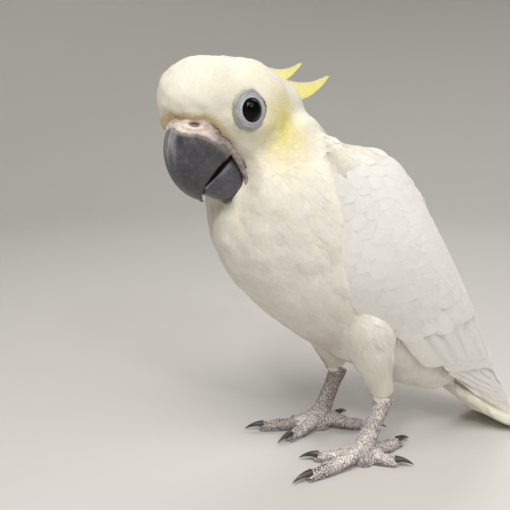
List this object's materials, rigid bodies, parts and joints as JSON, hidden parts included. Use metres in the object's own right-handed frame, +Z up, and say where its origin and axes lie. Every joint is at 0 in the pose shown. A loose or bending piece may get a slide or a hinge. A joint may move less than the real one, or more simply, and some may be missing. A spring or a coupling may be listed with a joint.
{
  "type": "white cockatoo model",
  "caption": "Life-size still model of a white crested parrot standing with folded wings, turned head, hooked dark bill and a yellow upturned crest.",
  "frame": {"origin": "middle of the object's box, at the level of the floor it stands on", "axes": "+Z up; the bird looks along -Y, its tail points along +Y and its left side is +X"},
  "size_m": [0.0858, 0.2454, 0.1888],
  "materials": {
    "plumage": "soft matt white feathers with a faint cream cast",
    "yellow_feather": "soft matt lemon-yellow feathers",
    "bill": "dark horn, satin under a light grey powder",
    "cere": "matt pale pink skin",
    "eye": "wet gloss black",
    "eye_ring": "matt wrinkled bluish-white skin",
    "foot": "matt grey skin with pale grains",
    "claw": "dark horn, satin"
  },
  "bodies": {
    "root": {"head": "plumage", "neck": "plumage", "trunk": "plumage", "tail": "plumage", "thigh_left": "plumage", "thigh_right": "plumage", "wing_coverts_left": "plumage", "wing_coverts_right": "plumage", "wing_secondaries_left": "plumage", "wing_secondaries_right": "plumage", "wing_primaries_left": "plumage", "wing_primaries_right": "plumage", "crest_front": "yellow_feather", "crest_mid_left": "yellow_feather", "crest_mid_right": "yellow_feather", "crest_long_left": "yellow_feather", "crest_long_right": "yellow_feather", "bill_upper": "bill", "bill_lower": "bill", "cere": "cere", "eye_left": "eye", "eye_right": "eye", "eye_ring_left": "eye_ring", "eye_ring_right": "eye_ring", "shank_left": "foot", "shank_right": "foot", "toe_inner_front_left": "foot", "toe_outer_front_left": "foot", "toe_inner_back_left": "foot", "toe_outer_back_left": "foot", "toe_inner_front_right": "foot", "toe_outer_front_right": "foot", "toe_inner_back_right": "foot", "toe_outer_back_right": "foot", "claw_inner_front_left": "claw", "claw_outer_front_left": "claw", "claw_inner_back_left": "claw", "claw_outer_back_left": "claw", "claw_inner_front_right": "claw", "claw_outer_front_right": "claw", "claw_inner_back_right": "claw", "claw_outer_back_right": "claw"}
  },
  "joints": []
}
